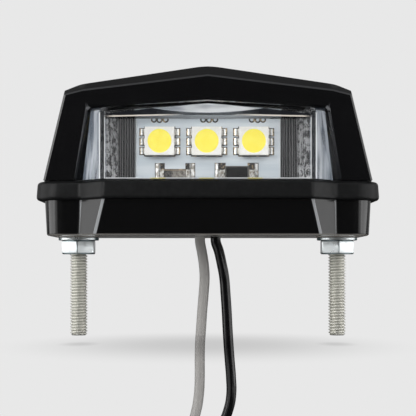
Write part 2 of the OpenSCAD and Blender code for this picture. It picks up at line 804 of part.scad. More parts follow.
// A nut with both its faces chamfered, and one corner towards the front
module nut(side) {
    corner_d = nut_af / cos(30);
    chamfer_h = (corner_d - nut_af) / 2 * tan(30);
    color([0.82, 0.84, 0.85])
        translate([side * stud_spacing / 2, 0, nut_z])
            difference() {
                intersection() {
                    rotate([0, 0, 30])
                        hexagon(nut_af, nut_h);
                    union() {
                        cylinder(d1 = nut_af, d2 = corner_d, h = chamfer_h);
                        translate([0, 0, chamfer_h])
                            cylinder(d = corner_d + 0.01, h = nut_h - 2 * chamfer_h);
                        translate([0, 0, nut_h - chamfer_h])
                            cylinder(d1 = corner_d, d2 = nut_af, h = chamfer_h);
                    }
                }
                translate([0, 0, -past])
                    cylinder(d = thread_pitch_d, h = nut_h + 2 * past);
            }
}

module hood_screws() {
    color([0.6, 0.6, 0.62])
        both_sides()
            translate([screw_spacing / 2, screw_back, screw_sink])
                difference() {
                    union() {
                        cylinder(d = screw_d, h = screw_l);
                        translate([0, 0, -screw_head_h])
                            cylinder(d = screw_head_d, h = screw_head_h);
                    }
                    for (turn = [0, 90])
                        rotate([0, 0, turn])
                            translate([-slot_l / 2, -slot_w / 2, -screw_head_h - past])
                                cube([slot_l, slot_w, past + screw_head_h / 2]);
                }
}

// Carrier

// A cheek in plan: a ribbed face, the slot for the board's edge and the post behind it
module cheek_plan() {
    edge = board_w / 2 - slot_cover;
    outer = carrier_w / 2;
    lip = board_face + slot_gap;
    lip_face = lip + cheek_lip;
    ribbed_to = outer - cheek_rim;
    ribs = floor((ribbed_to - edge) / rib_pitch);
    run = ribs * rib_pitch;
    function face(x) = lip_face + (carrier_front - lip_face) * (x - edge) / run;
    ribbed = [for (i = [0:ribs - 1]) each [
        [edge + i * rib_pitch, -face(edge + i * rib_pitch) + rib_depth],
        [edge + (i + 0.5) * rib_pitch, -face(edge + (i + 0.5) * rib_pitch)]]];
    slot = board_w / 2 + slot_gap;
    slot_back = board_back - slot_gap;
    polygon(concat([[edge, -slot_back], [edge, -carrier_back], [outer, -carrier_back],
                    [outer, -carrier_front], [edge + run, -carrier_front]],
                   [for (i = [len(ribbed) - 1:-1:0]) ribbed[i]],
                   [[edge, -lip], [slot, -lip], [slot, -slot_back]]));
}

module carrier() {
    color([0.09, 0.09, 0.1]) {
        block([-carrier_w / 2, -carrier_front, base_floor], [carrier_w / 2, -carrier_back, foot_top]);
        both_sides()
            translate([0, 0, foot_top])
                linear_extrude(carrier_h)
                    cheek_plan();
        block([-carrier_w / 2, -carrier_front, foot_top + carrier_h],
              [carrier_w / 2, -carrier_back, foot_top + carrier_h + carrier_rail]);
    }
}

// Board and its parts

module circuit_board() {
    color([0.86, 0.89, 0.92])
        difference() {
            block([-board_w / 2, -board_face, board_z], [board_w / 2, -board_back, board_z + board_h]);
            both_sides()
                translate([lead_hole_x, -board_back + past, lead_hole_z])
                    rotate([90, 0, 0])
                        cylinder(d = strand_d, h = board_t + 2 * past);
        }
}

module at_led(i) {
    translate([i * led_pitch - led_shift, -board_face, led_z])
        children();
}

// Points out of the board's face
module outwards() {
    rotate([90, 0, 0])
        children();
}

module led(i) {
    color([0.97, 0.95, 0.9])
        at_led(i)
            difference() {
                block([-led_w / 2, -led_t, -led_h / 2], [led_w / 2, 0, led_h / 2]);
                translate([0, -led_t + phosphor_depth, 0])
                    outwards()
                        cylinder(d = phosphor_d, h = phosphor_depth + past);
            }
}

module phosphor(i) {
    color([1, 0.9, 0.25])
        at_led(i)
            translate([0, -led_t + phosphor_depth, 0])
                outwards()
                    cylinder(d = phosphor_d, h = phosphor_depth);
}

module led_contacts(i) {
    color([0.75, 0.72, 0.66])
        at_led(i)
            both_sides()
                for (k = [-1:1])
                    block([led_w / 2, -contact_t, k * contact_pitch - contact_h / 2],
                          [led_w / 2 + contact_out, 0, k * contact_pitch + contact_h / 2]);
}

// A fillet of solder that slopes from height h down to the board over width w
module fillet(x, w, h, low, high) {
    translate([x, 0, low])
        linear_extrude(high - low)
            polygon([[0, 0], [0, -h], [w * 0.35, -h * 0.45], [w, -h * 0.12], [w, 0]]);
}

module led_solder() {
    color([0.8, 0.8, 0.78])
        for (i = [-1:1])
            at_led(i)
                both_sides()
                    for (k = [-1:1])
                        fillet(led_w / 2 + contact_out, solder_out, contact_t * 2.5,
                               k * contact_pitch - contact_h / 2, k * contact_pitch + contact_h / 2);
}

resistor_at = [-resistor_offset, -board_face, board_z + resistor_up];
diode_at = [diode_offset, -board_face, board_z + diode_up];

module resistor() {
    color([0.2, 0.2, 0.21])
        translate(resistor_at)
            block([-resistor_w / 2 + cap_w, -resistor_t, 0], [resistor_w / 2 - cap_w, 0, resistor_h]);
}

module resistor_caps() {
    color([0.78, 0.78, 0.76])
        translate(resistor_at)
            both_sides()
                block([resistor_w / 2 - cap_w, -resistor_t, 0], [resistor_w / 2, 0, resistor_h]);
}

module resistor_solder() {
    color([0.8, 0.8, 0.78])
        translate(resistor_at)
            both_sides()
                fillet(resistor_w / 2, solder_out + cap_w / 2, resistor_t, 0, resistor_h + pad_over);
}

module diode() {
    color([0.1, 0.1, 0.1])
        translate(diode_at)
            block([-diode_w / 2, -diode_t, 0], [diode_w / 2, 0, diode_h]);
}

module diode_contacts() {
    color([0.78, 0.78, 0.76])
        translate(diode_at)
            both_sides() {
                block([diode_w / 2, -diode_t / 2, diode_h * 0.2],
                      [diode_w / 2 + contact_t, 0, diode_h * 0.8]);
                block([diode_w / 2 + contact_t, -contact_t, diode_h * 0.2],
                      [diode_w / 2 + diode_foot, 0, diode_h * 0.8]);
            }
}

module diode_solder() {
    color([0.8, 0.8, 0.78])
        translate(diode_at)
            both_sides()
                fillet(diode_w / 2 + diode_foot, solder_out, contact_t * 2, diode_h * 0.1,
                       diode_h + diode_pad_over);
}

// Leads

module cable_seal() {
    neck_d = cable_hole_d - 2 * seal_gap;
    color([0.07, 0.07, 0.07])
        translate([0, cable_back, 0])
            difference() {
                union() {
                    translate([0, 0, seal_recess])
                        cylinder(d = neck_d, h = seal_top - seal_recess);
                    translate([0, 0, base_floor])
                        cylinder(d = cable_hole_d + 2 * seal_flange, h = seal_flange_t);
                }
                both_sides()
                    translate([lead_spacing / 2, 0, 0])
                        cylinder(d = lead_d, h = seal_top + past);
            }
}

module grey_lead_inside() {
    color([0.66, 0.66, 0.66])
        swept(grey_inside, lead_d - 2 * lead_gap);
}

module black_lead_inside() {
    color([0.06, 0.06, 0.06])
        swept(black_inside, lead_d - 2 * lead_gap);
}

module lead_solder() {
    cone_h = 0.4;
    color([0.8, 0.8, 0.78])
        both_sides()
            translate([lead_hole_x, -board_back, lead_hole_z])
                rotate([-90, 0, 0])
                    cylinder(d1 = lead_d * 1.4, d2 = lead_d * 0.8, h = cone_h);
}

module grey_lead() {
    color([0.66, 0.66, 0.66]) {
        swept(grey_route, lead_d);
        swept(grey_tail, lead_d);
    }
}

module black_lead() {
    color([0.06, 0.06, 0.06]) {
        swept(black_route, lead_d);
        swept(black_tail, lead_d);
    }
}

// The section of the wound leads, set out by d
module coil_section(d) {
    translate([coil_r0 - d, -coil_y / 2 - d])
        square([coil_r1 - coil_r0 + 2 * d, coil_y + 2 * d]);
}

module at_coil() {
    translate(coil_middle)
        rotate([90, 0, 0])
            children();
}

module lead_coil() {
    color([0.3, 0.3, 0.3])
        at_coil()
            rotate_extrude()
                coil_section(-coil_clear);
}

module coil_tie() {
    color([0.08, 0.08, 0.08])
        at_coil()
            rotate([0, 0, 270 - tie_angle / 2])
                rotate_extrude(angle = tie_angle)
                    difference() {
                        coil_section(tie_t);
                        coil_section(0);
                    }
}

module strands(tail) {
    last = len(tail) - 1;
    way = unit(tail[last] - tail[last - 1]);
    swept([tail[last], tail[last] + way * strand_l], strand_d);
}

module grey_lead_end() {
    color([0.8, 0.76, 0.7])
        strands(grey_tail);
}

module black_lead_end() {
    color([0.8, 0.76, 0.7])
        strands(black_tail);
}

hood();
lens();
seal_collar();
base();
carrier();
hood_screws();
stud(-1);  // stud_left
stud(1);  // stud_right
washer(-1);  // washer_left
washer(1);  // washer_right
nut(-1);  // nut_left
nut(1);  // nut_right
circuit_board();
led(-1);  // led_left
phosphor(-1);  // led_left_phosphor
led_contacts(-1);  // led_left_contacts
led(0);  // led_middle
phosphor(0);  // led_middle_phosphor
led_contacts(0);  // led_middle_contacts
led(1);  // led_right
phosphor(1);  // led_right_phosphor
led_contacts(1);  // led_right_contacts
led_solder();
resistor();
resistor_caps();
resistor_solder();
diode();
diode_contacts();
diode_solder();
cable_seal();
grey_lead_inside();
black_lead_inside();
lead_solder();
grey_lead();
black_lead();
lead_coil();
coil_tie();
grey_lead_end();
black_lead_end();
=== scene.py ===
"""Number plate lamp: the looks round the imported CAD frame. All lengths are in metres, apart from the
paints, the leads' routes and the thread, which are worked out in millimetres."""

import math

import bmesh
import bpy
from mathutils import Matrix, Vector


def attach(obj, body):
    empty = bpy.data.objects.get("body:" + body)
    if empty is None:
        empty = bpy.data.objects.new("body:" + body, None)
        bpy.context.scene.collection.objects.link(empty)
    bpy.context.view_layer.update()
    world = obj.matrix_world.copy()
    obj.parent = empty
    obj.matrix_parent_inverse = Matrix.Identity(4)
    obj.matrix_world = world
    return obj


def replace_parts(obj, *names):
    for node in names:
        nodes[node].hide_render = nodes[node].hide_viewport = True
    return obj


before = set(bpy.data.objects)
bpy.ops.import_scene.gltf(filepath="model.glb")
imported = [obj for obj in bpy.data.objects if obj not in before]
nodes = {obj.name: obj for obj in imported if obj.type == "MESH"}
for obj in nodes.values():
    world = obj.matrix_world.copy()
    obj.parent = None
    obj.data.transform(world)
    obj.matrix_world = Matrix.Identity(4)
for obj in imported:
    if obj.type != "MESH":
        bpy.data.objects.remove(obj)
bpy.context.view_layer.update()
scene = bpy.context.scene
MM = 0.001
STUD_X = 22.5  # the studs' axes stand this far out on each side, in millimetres
FLAT = 2.75  # half the width across flats of the nuts and the studs' heads, in millimetres
SIDES = ("left", "middle", "right")

# Camera

DISTANCE = 0.220
EYE_Z = -0.0056
camera_data = bpy.data.cameras.new("camera")
camera_data.sensor_width = 36.0
camera_data.lens = 109.2
camera_data.shift_x = 0.0003
camera_data.shift_y = 0.1462
camera_data.clip_start = 0.01
camera_data.clip_end = 20.0
camera = bpy.data.objects.new("camera", camera_data)
camera.location = (0, -DISTANCE, EYE_Z)
camera.rotation_euler = (math.radians(90), 0, 0)
scene.collection.objects.link(camera)
scene.camera = camera
scene.view_settings.view_transform = "Standard"

# Material helpers

NOISE_LOW, NOISE_HIGH = 0.3, 0.7  # noise seldom leaves this range


class Paint:
    """A node material with a few short ways to add procedural detail."""

    def __init__(self, name, colour, roughness, metallic=0.0, **sockets):
        self.mat = bpy.data.materials.new(name)
        self.mat.use_nodes = True
        self.mat.diffuse_color = (*colour, 1.0)
        self.tree = self.mat.node_tree
        self.bsdf = self.tree.nodes["Principled BSDF"]
        self.out = self.tree.nodes["Material Output"]
        self.set("Base Color", (*colour, 1.0))
        self.set("Roughness", roughness)
        self.set("Metallic", metallic)
        for key, value in sockets.items():
            self.set(key.replace("_", " "), value)
        self.coords = self.split = self.turn = None

    def set(self, socket, value):
        self.bsdf.inputs[socket].default_value = value

    def node(self, kind, **values):
        """A new node. Each value goes to the attribute of that name, or else to the socket."""
        n = self.tree.nodes.new(kind)
        for key, value in values.items():
            if hasattr(n, key):
                setattr(n, key, value)
            else:
                n.inputs[key].default_value = value
        return n

    def link(self, a, b):
        self.tree.links.new(a, b)

    def join(self, value, socket):
        """A number, a colour or another node's output goes to a socket."""
        if isinstance(value, (int, float)):
            socket.default_value = value
        elif isinstance(value, tuple):
            socket.default_value = (*value, 1.0)
        else:
            self.link(value, socket)

    # Where a point lies

    def coordinate(self, output):
        if self.coords is None:
            self.coords = self.node("ShaderNodeTexCoord")
        return self.coords.outputs[output]

    def place(self, scale=(1, 1, 1)):
        """Object coordinates, scaled."""
        m = self.node("ShaderNodeMapping")
        m.inputs["Scale"].default_value = scale
        self.link(self.coordinate("Object"), m.inputs["Vector"])
        return m.outputs["Vector"]

    def axis(self, which):
        """One object coordinate in millimetres."""
        if self.split is None:
            self.split = self.node("ShaderNodeSeparateXYZ")
            self.link(self.place((1000, 1000, 1000)), self.split.inputs[0])
        return self.split.outputs[which]

    def lean(self, which):
        """One part of the surface's direction."""
        if self.turn is None:
            self.turn = self.node("ShaderNodeSeparateXYZ")
            self.link(self.coordinate("Normal"), self.turn.inputs[0])
        return self.turn.outputs[which]

    def facing(self):
        """1 where the surface faces the front."""
        return self.fade(self.lean(1), -0.6, -0.75)

    def off(self, which, centre=0.0):
        """Distance along one axis from a centre, in millimetres."""
        return self.math("ABSOLUTE", self.minus(self.axis(which), centre))

    def box(self, centre, half):
        """How far a point lies outside a rectangle of the front view, and less than 0 inside."""
        return self.most(self.minus(self.off(0, centre[0]), half[0]),
                         self.minus(self.off(2, centre[1]), half[1]))

    def vector(self, x, y):
        n = self.node("ShaderNodeCombineXYZ")
        self.link(x, n.inputs[0])
        self.link(y, n.inputs[1])
        return n.outputs[0]

    def distance(self, vector, point=(0, 0, 0)):
        n = self.node("ShaderNodeVectorMath", operation="DISTANCE")
        self.link(vector, n.inputs[0])
        n.inputs[1].default_value = point
        return n.outputs["Value"]

    # Numbers

    def math(self, operation, *values):
        n = self.node("ShaderNodeMath", operation=operation)
        for value, socket in zip(values, n.inputs):
            self.join(value, socket)
        return n.outputs[0]

    def chain(self, operation, total, *values):
        """One operation along a row of values, from the left."""
        for value in values:
            total = self.math(operation, total, value)
        return total

    def times(self, *values):
        return self.chain("MULTIPLY", *values)

    def most(self, *values):
        return self.chain("MAXIMUM", *values)

    def least(self, *values):
        return self.chain("MINIMUM", *values)

    def plus(self, a, b):
        return self.math("ADD", a, b)

    def minus(self, a, b):
        return self.math("SUBTRACT", a, b)

    def spread(self, value, start, end, low=0.0, high=1.0, kind="LINEAR"):
        """What lies between start and end, spread between low and high."""
        n = self.node("ShaderNodeMapRange", interpolation_type=kind)
        self.join(value, n.inputs["Value"])
        ends = {"From Min": start, "From Max": end, "To Min": low, "To Max": high}
        for socket, number in ends.items():
            n.inputs[socket].default_value = number
        return n.outputs["Result"]

    def fade(self, value, start, end):
        """0 at the start and 1 at the end."""
        return self.spread(value, start, end, kind="SMOOTHSTEP")

    def band(self, value, start, full, fall, end):
        """0 up to the start, 1 from full to fall, and 0 again from the end."""
        return self.times(self.fade(value, start, full), self.fade(value, end, fall))

    def noise(self, scale, detail, stretch=(1, 1, 1), roughness=0.5):
        n = self.node("ShaderNodeTexNoise", Scale=scale, Detail=detail, Roughness=roughness)
        self.link(self.place(stretch), n.inputs["Vector"])
        return n.outputs["Fac"]

    # Looks

    def blend(self, share, a, b):
        """One colour with a share of another over it."""
        n = self.node("ShaderNodeMix", data_type="RGBA")
        for value, which in ((share, 0), (a, 6), (b, 7)):
            self.join(value, n.inputs[which])
        return n.outputs[2]

    def colour(self, value):
        self.link(value, self.bsdf.inputs["Base Color"])

    def rough(self, low, high, scale, detail):
        """Noise moves the roughness between two values."""
        noise_mix = self.spread(self.noise(scale, detail), NOISE_LOW, NOISE_HIGH, low, high)
        self.link(noise_mix, self.bsdf.inputs["Roughness"])

    def tint(self, scale, detail, *stops):
        """Noise moves the colour between two stops, each a place and a colour."""
        ramp = self.node("ShaderNodeValToRGB")
        for i, (at, colour) in enumerate(stops):
            ramp.color_ramp.elements[i].position = at
            ramp.color_ramp.elements[i].color = (*colour, 1.0)
        self.link(self.noise(scale, detail), ramp.inputs["Fac"])
        self.colour(ramp.outputs["Color"])

    def bump(self, height, strength, distance):
        b = self.node("ShaderNodeBump")
        b.inputs["Strength"].default_value = strength
        b.inputs["Distance"].default_value = distance
        self.link(height, b.inputs["Height"])
        self.link(b.outputs["Normal"], self.bsdf.inputs["Normal"])

    def shader(self, kind, colour, **values):
        n = self.node(kind, **values)
        self.join(colour, n.inputs["Color"])
        return n.outputs[0]

    def layer(self, base, share, over):
        """One shader with a share of another over it."""
        mix = self.node("ShaderNodeMixShader")
        self.join(share, mix.inputs["Fac"])
        self.link(base, mix.inputs[1])
        self.link(over, mix.inputs[2])
        return mix.outputs["Shader"]

    def finish(self, shader):
        self.link(shader, self.out.inputs["Surface"])


# Mesh helpers

CAD_ANGLE, THREAD_ANGLE = 30, 80  # edges sharper than this stay sharp, in degrees
BEVEL_ANGLE = 28


def put(obj, paint):
    """Gives an object its one material."""
    obj.data.materials.clear()
    obj.data.materials.append(paint.mat)


def shade(obj, angle):
    for p in obj.data.polygons:
        p.use_smooth = True
    obj.data.set_sharp_from_angle(angle=math.radians(angle))


def soften(obj, width):
    """Rounds the sharp edges of a CAD node with modifiers, and leaves its mesh as it is."""
    weld = obj.modifiers.new("weld", "WELD")
    weld.merge_threshold = 1e-6
    bevel = obj.modifiers.new("bevel", "BEVEL")
    bevel.width = width
    bevel.segments = 3
    bevel.limit_method = "ANGLE"
    bevel.angle_limit = math.radians(BEVEL_ANGLE)
    bevel.miter_outer = "MITER_ARC"
    bevel.harden_normals = True
    bevel.use_clamp_overlap = True
    bevel.loop_slide = True
    flat = obj.modifiers.new("flat_faces", "WEIGHTED_NORMAL")
    flat.mode = "FACE_AREA"
    flat.weight = 100
    flat.keep_sharp = True


# Cords: their routes below the lamp, and the turns out of the picture

LEAD_R = 0.9 * MM
GREY_ROUTE = [(-1.4, 5.2, 0.6), (-1.4, 5.2, -0.7), (-1.1, 5.2, -2.4), (-0.75, 5.2, -4.6),
              (-0.58, 5.2, -7), (-0.75, 5.2, -10), (-1, 5.2, -13), (-1.2, 5.2, -16),
              (-1.4, 5.2, -19), (-1.45, 5.2, -22), (-1.45, 5.2, -25), (-1.6, 5.12, -28),
              (-2.1, 4.9, -31), (-3.1, 4.6, -34), (-4.5, 4.35, -36.4), (-5.85, 4.25, -38.75),
              (-7.22, 4.25, -41.1), (-8.9, 4.25, -44.0)]
BLACK_ROUTE = [(1.4, 5.2, 0.6), (1.4, 5.2, -0.7), (1.95, 5.2, -2.4), (2.45, 5.2, -4.6),
               (2.9, 5.2, -7), (3.15, 5.2, -10), (3.35, 5.2, -13), (3.5, 5.2, -16),
               (3.68, 5.2, -19), (3.9, 5.2, -22), (4.13, 5.25, -25), (4.18, 5.35, -28),
               (3.75, 5.55, -30.5), (2.7, 5.8, -33), (1, 6.05, -34.7), (-0.7, 6.15, -36.4),
               (-2.3, 6.15, -38.04), (-3.89, 6.15, -39.63), (-6.3, 6.15, -42.04)]
COIL_Z = -53.0
OUTER_R, INNER_R = 12.2, 8.4
TURNS, STEPS = 2, 32
TAIL = (2.5, 5, 7.25, 9.5, 11.75, 14)  # how far past the last turn each point of the end lies
CROSSING = (-6.6, -3.3, 0, *TAIL)  # the same for the last points, which pass over the turns
RISE_START, RISE_LENGTH = -4, 9


def wound(start_deg, layer_y, tail_y):
    """Two turns that spiral inwards, and the end that passes over them and runs out."""
    pts = []
    for i in range(STEPS + 1):
        t = i / STEPS
        a = math.radians(start_deg + 360 * TURNS * t)
        r = OUTER_R + (INNER_R - OUTER_R) * t
        pts.append([r * math.cos(a), layer_y, COIL_Z + r * math.sin(a)])
    a = math.radians(start_deg)
    way = (-math.sin(a), math.cos(a))
    end = pts[-1]
    for s in TAIL:
        pts.append([end[0] + way[0] * s, layer_y, end[2] + way[1] * s])
    for point, s in zip(pts[-len(CROSSING):], CROSSING):
        t = min(max((s - RISE_START) / RISE_LENGTH, 0), 1)
        t = t * t * (3 - 2 * t)
        point[1] = layer_y + (tail_y - layer_y) * t
    return [tuple(p) for p in pts]


def lead(name, points, paint):
    curve = bpy.data.curves.new(name, "CURVE")
    curve.dimensions = "3D"
    curve.bevel_depth = LEAD_R
    curve.bevel_resolution = 6
    curve.resolution_u = 5
    curve.use_fill_caps = True
    spline = curve.splines.new("BEZIER")
    spline.bezier_points.add(len(points) - 1)
    for bp, p in zip(spline.bezier_points, points):
        bp.co = [c * MM for c in p]
        bp.handle_left_type = bp.handle_right_type = "AUTO"
    obj = bpy.data.objects.new(name, curve)
    scene.collection.objects.link(obj)
    put(obj, paint)
    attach(obj, "root")
    return obj


grey_paint = Paint("grey_sleeve", (0.32, 0.31, 0.295), 0.42)
grey_paint.rough(0.38, 0.46, 500, 2)
grey_paint.tint(300, 3, (0.3, (0.305, 0.295, 0.285)), (0.7, (0.325, 0.315, 0.3)))
grey_paint.bump(grey_paint.noise(900, 2), 0.02, 0.00002)
black_paint = Paint("black_sleeve", (0.0025, 0.0025, 0.003), 0.16)
black_paint.rough(0.13, 0.19, 500, 2)
black_paint.bump(black_paint.noise(900, 2), 0.02, 0.00002)

grey_line = GREY_ROUTE + wound(start_deg=150, layer_y=4.25, tail_y=2.35)
black_line = BLACK_ROUTE + wound(start_deg=135, layer_y=6.15, tail_y=8.05)
grey_lead = lead("grey_sleeve", grey_line, grey_paint)
black_lead = lead("black_sleeve", black_line, black_paint)
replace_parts(grey_lead, "grey_lead", "lead_coil")
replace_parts(black_lead, "black_lead")

# Sizes read from the CAD frame, in millimetres


def box_of(name):
    """The low and the high corner of a node."""
    pts = [v.co for v in nodes[name].data.vertices]
    return [[pick(p[i] for p in pts) / MM for i in range(3)] for pick in (min, max)]


def front_box(*names, margin=0.0, side=0):
    """Centre and half size, in the front view, of some nodes, or of their left or right halves."""
    pts = [v.co / MM for n in names for v in nodes[n].data.vertices]
    middle = (min(p.x for p in pts) + max(p.x for p in pts)) / 2
    pts = [p for p in pts if (p.x - middle) * side >= 0]
    low = [min(p[i] for p in pts) - margin for i in (0, 2)]
    high = [max(p[i] for p in pts) + margin for i in (0, 2)]
    return ([(a + b) / 2 for a, b in zip(low, high)], [(b - a) / 2 for a, b in zip(low, high)])


LED_BOXES = {side: front_box(f"led_{side}") for side in SIDES}
LED_MIDDLE = LED_BOXES["middle"][0]
LED_PITCH = LED_BOXES["right"][0][0] - LED_MIDDLE[0]
CONTACT_OUT = front_box("led_middle_contacts")[1][0]
SOLDER_OUT = front_box("led_solder")[1][0] - LED_PITCH
CONTACT_PITCH, CONTACT_H = 1.6, 1.1
BOARD_HALF = front_box("circuit_board")[1][0]
# The dark lines round the soldered parts are painted shade in the gaps, partly the parts' own
# copper-brown edges
OUTLINE = 0.15  # the dark line round a light source and its feet
PART_OUTLINE = 0.13  # the one round the resistor and the diode
RING_R = 0.4
RING_MARKS = [(-9.2, 19.85), (-8.25, 19.8), (-7.2, 19.85), (-0.8, 19.85), (0.2, 19.8),
              (1.25, 19.85), (7.5, 19.85), (8.5, 19.8), (9.4, 19.85)]

BAY_OUT = 21.6  # the base's bay ends this far out
RIBS_OUT = 14.9  # and the carrier's ribs this far
_, LENS_FRONT, LENS_FOOT = box_of("lens")[0]
FACE_DEPTH, CORNER_W = 0.02, 0.3  # what counts as the lens's front face, and its rounded corner
LENS_HALF = max(abs(v.co.x) for v in nodes["lens"].data.vertices
                if v.co.y / MM < LENS_FRONT + FACE_DEPTH) / MM + CORNER_W
WEDGE_FOOT = 19.75  # the lower edge of the arcs along the window's top
CROWN, CROWN_FALL = 22.0, 0.125  # their upper edge in the middle, and its fall to each side
BELLY, BELLY_HALF = 0.75, 9.0  # the pale arc's lower edge rises by this much, so far out


def from_led(p):
    """Distance along X from the nearest light source's centre."""
    return p.math("PINGPONG", p.minus(p.axis(0), LED_MIDDLE[0]), LED_PITCH / 2)


def from_stud(p):
    """Distance along X from the nearer stud's axis."""
    return p.math("ABSOLUTE", p.minus(p.off(0), STUD_X))


# Materials of the housing


def hood_material():
    """Glossy black, with painted highlights along the top edge of the front and down the window's
    sides.
    """
    black = (0.0035, 0.0035, 0.004)
    p = Paint("gloss_black", black, 0.14)
    p.rough(0.11, 0.18, 260, 5)
    p.bump(p.noise(700, 2), 0.02, 0.00004)
    front = box_of("hood")[0][1]
    # Painted highlights: pale lines along the front's top edge and down the window's sides
    top_edge_highlight = p.times(p.fade(p.axis(1), front + 0.32, front + 0.22), p.fade(p.lean(2), 0.2, 0.35), 0.24)
    inward = p.times(p.lean(0), p.math("SIGN", p.axis(0)))
    window_side_highlight = p.times(p.band(inward, -0.55, -0.45, -0.22, -0.1), p.facing())
    p.colour(p.blend(p.most(top_edge_highlight, window_side_highlight), black, (0.12, 0.123, 0.13)))
    return p


def base_material():
    """Glossy black, with painted highlights down the bay's slanted edges and a painted reflection that
    makes the lowest rim paler.
    """
    black = (0.003, 0.003, 0.0032)
    p = Paint("base_black", black, 0.14)
    p.rough(0.11, 0.17, 260, 5)
    p.bump(p.noise(500, 2, (1, 1, 0.03)), 0.1, 0.00008)
    turned = p.math("ABSOLUTE", p.lean(0))
    on_bay = p.fade(p.off(0), BAY_OUT, BAY_OUT - 0.4)
    # Painted highlights down the bay's slanted edges
    bay_edge_highlight = p.times(p.band(turned, 0.1, 0.2, 0.52, 0.62), on_bay, p.facing())
    # Painted reflection: the lowest rim is paler
    rim = p.fade(p.axis(2), 0.32, 0.08)
    p.colour(p.blend(rim, p.blend(bay_edge_highlight, black, (0.26, 0.27, 0.28)), (0.2, 0.19, 0.175)))
    return p


def collar_material():
    p = Paint("matt_rubber", (0.006, 0.0062, 0.0066), 0.4, Specular_IOR_Level=0.2)
    p.rough(0.36, 0.46, 700, 5)
    p.tint(1500, 4, (0.3, (0.004, 0.0043, 0.0046)), (0.7, (0.0072, 0.0076, 0.008)))
    p.bump(p.noise(9000, 3), 0.15, 0.00002)
    return p


def carrier_material():
    """Black moulding with painted glints in fine upright streaks on the ribs, and painted pale mottled
    light at the outer edges, stronger lower down.
    """
    p = Paint("black_carrier", (0.05, 0.05, 0.05), 0.5, Specular_IOR_Level=0.25)
    p.rough(0.42, 0.6, 1200, 4)
    # Painted glints: thin pale upright streaks on the black ribs
    wavy = p.plus(p.axis(0), p.times(p.noise(900, 1, (1, 1, 0.05)), 0.5))
    streaks = p.fade(p.math("PINGPONG", wavy, 0.2), 0.11, 0.17)
    rib_glints = p.blend(streaks, (0.003, 0.003, 0.0035), (0.17, 0.17, 0.175))
    # Painted light: a pale mottled zone at the outer edges, stronger lower down
    mottle = p.fade(p.noise(1900, 4, (1, 1, 0.6), 0.7), 0.42, 0.56)
    pale = p.blend(mottle, (0.012, 0.012, 0.013), (0.5, 0.5, 0.505))
    low = p.fade(p.axis(2), 13, 9.6)
    outer = p.times(p.fade(p.off(0), RIBS_OUT, RIBS_OUT + 0.7), p.plus(0.55, p.times(low, 0.45)))
    p.colour(p.blend(outer, rib_glints, pale))
    return p


# Materials of the fixings


def steel_material():
    """Plain steel, with painted shade in the roots of the thread and paler crests."""
    p = Paint("thread_steel", (0.64, 0.63, 0.58), 0.5, 0.8)
    p.rough(0.48, 0.54, 900, 3)
    # Painted shade: darker towards the thread's roots, paler on its crests
    squares = [p.math("POWER", value, 2.0) for value in (p.minus(p.off(0), STUD_X), p.axis(1))]
    from_axis = p.math("SQRT", p.plus(*squares))
    p.colour(p.blend(p.fade(from_axis, 1.18, 1.44), (0.4, 0.4, 0.36), (0.86, 0.85, 0.79)))
    return p


def zinc_material():
    """Bright zinc with painted shade towards the washers' left and right ends."""
    p = Paint("bright_zinc", (0.78, 0.81, 0.82), 0.32, 0.85)
    p.rough(0.26, 0.4, 900, 4)
    # Painted shade towards the washers' left and right ends
    p.colour(p.blend(p.fade(from_stud(p), 2.6, 3.2), (0.74, 0.78, 0.79), (0.12, 0.17, 0.18)))
    return p


def nut_material():
    """Bright zinc with painted shade on the chamfers, at the corners and along the middle edge."""
    p = Paint("nut_zinc", (0.78, 0.81, 0.82), 0.32, 0.85)
    p.rough(0.26, 0.4, 900, 4)
    bright = p.blend(p.noise(600, 4), (0.66, 0.71, 0.72), (0.8, 0.83, 0.84))
    low, high = box_of("nut_left")
    half = (high[2] - low[2]) / 2
    # Painted shade on the chamfers at both ends, at the corners and along the middle edge
    ends = p.fade(p.off(2, low[2] + half), half - 0.3, half - 0.18)
    across = from_stud(p)
    corners = p.fade(across, FLAT - 0.03, FLAT + 0.2)
    middle = p.times(p.fade(across, 0.2, 0.1), 0.6)
    p.colour(p.blend(p.times(p.most(ends, corners, middle), 0.85), bright, (0.09, 0.13, 0.14)))
    return p


# Materials of the board


